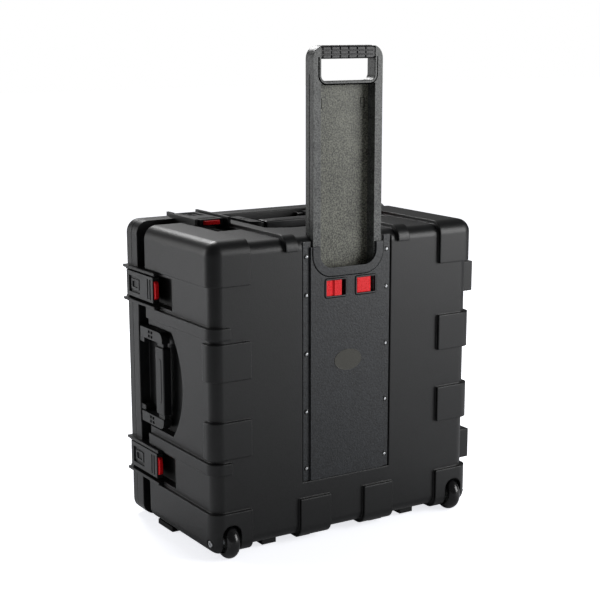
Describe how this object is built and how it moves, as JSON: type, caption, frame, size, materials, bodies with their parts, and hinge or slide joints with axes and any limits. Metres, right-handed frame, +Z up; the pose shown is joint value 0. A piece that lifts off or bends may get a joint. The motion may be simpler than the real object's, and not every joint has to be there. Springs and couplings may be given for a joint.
{
  "type": "rolling tool case",
  "caption": "Black moulded rolling tool case with a hinged lid, carrying handles, toggle latches, small wheels and a pull-up trolley handle behind a screwed rear cover.",
  "frame": {"origin": "on the floor, below the middle of the whole object's outer box", "axes": "+Z up along the trolley handle's travel, +Y from the trolley side to the lid, +X to the right when the trolley side is faced, towards the lid's hinge"},
  "size_m": [0.726, 0.465, 1.099],
  "materials": {
    "shell_plastic": "satin",
    "cover_plastic": "satin",
    "rail_plastic": "satin",
    "panel_plastic": "satin",
    "badge_plastic": "satin",
    "red_plastic": "satin",
    "lever_plastic": "satin",
    "rubber": "matte",
    "steel": "satin"
  },
  "bodies": {
    "base": {"base_shell": "shell_plastic", "trolley_cover": "cover_plastic", "cover_screws": "steel", "blank_badge": "badge_plastic", "channel_guides": "rail_plastic", "hinge_pins": "steel", "handle_pins": "steel", "foot_left": "rubber", "foot_right": "rubber", "axle_left": "steel", "axle_left_washers": "steel", "axle_right": "steel", "axle_right_washers": "steel"},
    "lid": {"lid_shell": "shell_plastic", "lid_gasket": "rubber", "latch_pins": "steel"},
    "trolley": {"trolley_frame": "rail_plastic", "trolley_panel": "panel_plastic", "trolley_grip": "rubber", "trolley_stop_left": "rail_plastic", "trolley_stop_right": "rail_plastic"},
    "lock": {"lock_slider": "red_plastic", "lock_pin": "steel"},
    "release": {"release_button": "red_plastic", "release_plunger": "steel"},
    "wheel_left": {"wheel_left_tyre": "rubber", "wheel_left_core": "rail_plastic", "wheel_left_bearings": "steel", "wheel_left_spacer": "steel"},
    "wheel_right": {"wheel_right_tyre": "rubber", "wheel_right_core": "rail_plastic", "wheel_right_bearings": "steel", "wheel_right_spacer": "steel"},
    "handle_left": {"handle_left_frame": "lever_plastic", "handle_left_grip": "rubber"},
    "handle_top": {"handle_top_frame": "lever_plastic", "handle_top_grip": "rubber"},
    "latch_left_upper": {"latch_left_upper_lever": "lever_plastic"},
    "latch_left_upper_button": {"latch_left_upper_trigger": "red_plastic"},
    "latch_left_lower": {"latch_left_lower_lever": "lever_plastic"},
    "latch_left_lower_button": {"latch_left_lower_trigger": "red_plastic"},
    "latch_top_left": {"latch_top_left_lever": "lever_plastic"},
    "latch_top_left_button": {"latch_top_left_trigger": "red_plastic"},
    "latch_top_right": {"latch_top_right_lever": "lever_plastic"},
    "latch_top_right_button": {"latch_top_right_trigger": "red_plastic"}
  },
  "joints": [
    {"name": "lid_hinge", "type": "hinge", "parent": "base", "child": "lid", "pos_m": [0.351, 0.1619, 0.357], "axis": [0, 0, -1], "range_deg": [0, 105]},
    {"name": "trolley_slide", "type": "slide", "parent": "base", "child": "trolley", "axis": [0, 0, 1], "range_m": [-0.385, 0]},
    {"name": "lock_slide", "type": "slide", "parent": "base", "child": "lock", "axis": [1, 0, 0], "range_m": [0, 0.01]},
    {"name": "release_press", "type": "slide", "parent": "base", "child": "release", "axis": [0, 1, 0], "range_m": [0, 0.005], "stiffness_N_per_m": 600},
    {"name": "wheel_left_spin", "type": "hinge", "parent": "base", "child": "wheel_left", "pos_m": [-0.31, -0.1925, 0.04], "axis": [1, 0, 0], "continuous": true},
    {"name": "wheel_right_spin", "type": "hinge", "parent": "base", "child": "wheel_right", "pos_m": [0.296, -0.1925, 0.04], "axis": [1, 0, 0], "continuous": true},
    {"name": "handle_left_swing", "type": "hinge", "parent": "base", "child": "handle_left", "pos_m": [-0.346, 0.1195, 0.357], "axis": [0, 0, -1], "range_deg": [0, 90]},
    {"name": "handle_top_swing", "type": "hinge", "parent": "base", "child": "handle_top", "pos_m": [-0.007, 0.1195, 0.692], "axis": [-1, 0, 0], "range_deg": [0, 90]},
    {"name": "latch_left_upper_swing", "type": "hinge", "parent": "lid", "child": "latch_left_upper", "pos_m": [-0.351, 0.1795, 0.562], "axis": [0, 0, -1], "range_deg": [0, 120]},
    {"name": "latch_left_upper_press", "type": "slide", "parent": "latch_left_upper", "child": "latch_left_upper_button", "axis": [0, 1, 0], "range_m": [0, 0.004], "stiffness_N_per_m": 600},
    {"name": "latch_left_lower_swing", "type": "hinge", "parent": "lid", "child": "latch_left_lower", "pos_m": [-0.351, 0.1795, 0.152], "axis": [0, 0, -1], "range_deg": [0, 120]},
    {"name": "latch_left_lower_press", "type": "slide", "parent": "latch_left_lower", "child": "latch_left_lower_button", "axis": [0, 1, 0], "range_m": [0, 0.004], "stiffness_N_per_m": 600},
    {"name": "latch_top_left_swing", "type": "hinge", "parent": "lid", "child": "latch_top_left", "pos_m": [-0.207, 0.1795, 0.704], "axis": [-1, 0, 0], "range_deg": [0, 120]},
    {"name": "latch_top_left_press", "type": "slide", "parent": "latch_top_left", "child": "latch_top_left_button", "axis": [0, 1, 0], "range_m": [0, 0.004], "stiffness_N_per_m": 600},
    {"name": "latch_top_right_swing", "type": "hinge", "parent": "lid", "child": "latch_top_right", "pos_m": [0.193, 0.1795, 0.704], "axis": [-1, 0, 0], "range_deg": [0, 120]},
    {"name": "latch_top_right_press", "type": "slide", "parent": "latch_top_right", "child": "latch_top_right_button", "axis": [0, 1, 0], "range_m": [0, 0.004], "stiffness_N_per_m": 600}
  ]
}
